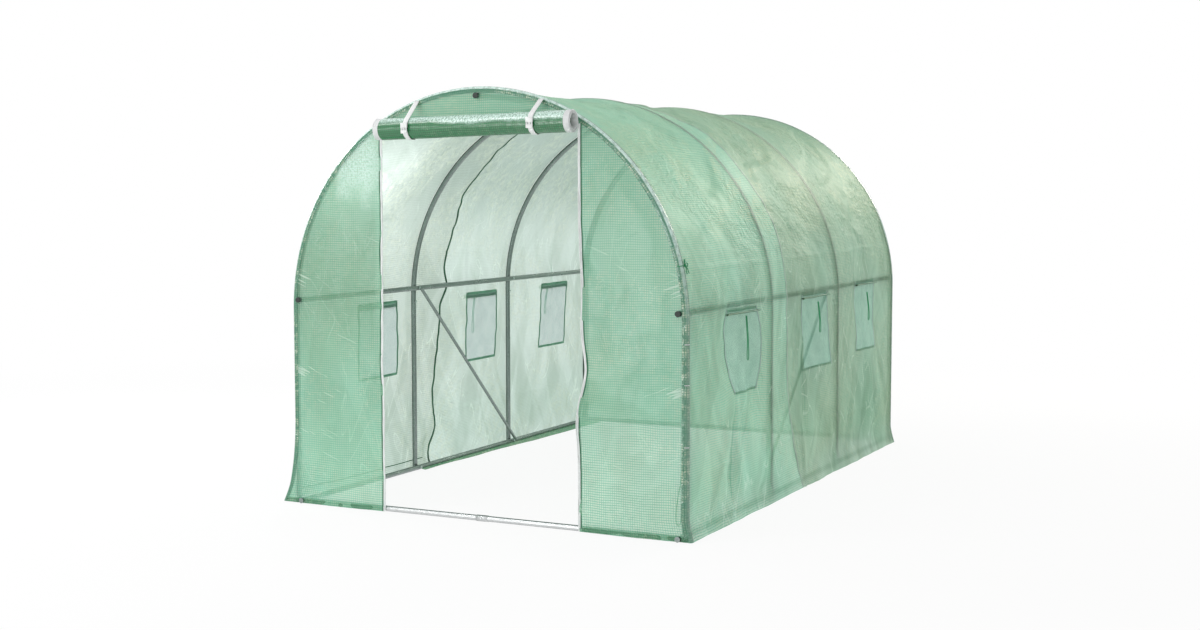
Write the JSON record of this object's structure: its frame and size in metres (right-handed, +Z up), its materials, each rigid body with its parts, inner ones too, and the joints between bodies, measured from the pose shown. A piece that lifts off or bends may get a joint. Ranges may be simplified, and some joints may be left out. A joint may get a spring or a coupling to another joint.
{
  "type": "polytunnel greenhouse",
  "caption": "Walk-in polytunnel: round tube hoops and rails under a green reinforced cloth cover, with a rolled-up zip door and net windows.",
  "frame": {"origin": "on the ground, at the middle of the plan box", "axes": "+X to the right of someone who faces the door, +Y from the door end to the closed end, +Z up"},
  "size_m": [2.0666, 3.159, 1.9182],
  "materials": {
    "galvanised_tube": "galvanised, satin",
    "end_plug": "matt black",
    "cover_cloth": "reinforced see-through cloth with a fine square grid, glossy creases",
    "skirt_cloth": "the same cloth, doubled at the hem",
    "door_cloth": "rolled cloth, glossy dark green",
    "zip_tape": "white woven tape",
    "strap_webbing": "white webbing",
    "buckle_plastic": "white moulded plastic",
    "window_net": "fine woven net",
    "binding_cloth": "sewn green binding",
    "tie_cord": "thin woven cord"
  },
  "bodies": {
    "root": {"front_legs": "galvanised_tube", "second_legs": "galvanised_tube", "third_legs": "galvanised_tube", "back_legs": "galvanised_tube", "front_arch": "galvanised_tube", "second_arch": "galvanised_tube", "third_arch": "galvanised_tube", "back_arch": "galvanised_tube", "ridge_rail": "galvanised_tube", "side_rails": "galvanised_tube", "base_rails": "galvanised_tube", "front_base_rail": "galvanised_tube", "back_base_rail": "galvanised_tube", "side_braces": "galvanised_tube", "rail_end_plugs": "end_plug", "front_roof_cover": "cover_cloth", "rear_roof_cover": "cover_cloth", "front_wall_covers": "cover_cloth", "rear_wall_covers": "cover_cloth", "front_skirts": "skirt_cloth", "rear_skirts": "skirt_cloth", "inner_hem": "skirt_cloth", "front_left_panel": "cover_cloth", "front_right_panel": "cover_cloth", "front_top_panel": "cover_cloth", "back_panel": "cover_cloth", "door_roll": "door_cloth", "door_roll_edges": "zip_tape", "door_zips": "zip_tape", "door_straps": "strap_webbing", "door_buckles": "buckle_plastic", "left_window_nets": "window_net", "right_window_nets": "window_net", "left_window_bindings": "binding_cloth", "right_window_bindings": "binding_cloth", "left_window_flaps": "binding_cloth", "right_window_flaps": "binding_cloth", "left_tie_1": "tie_cord", "left_tie_2": "tie_cord", "left_tie_3": "tie_cord", "right_tie_1": "tie_cord", "right_tie_2": "tie_cord", "right_tie_3": "tie_cord", "corner_tie": "tie_cord"}
  },
  "joints": []
}
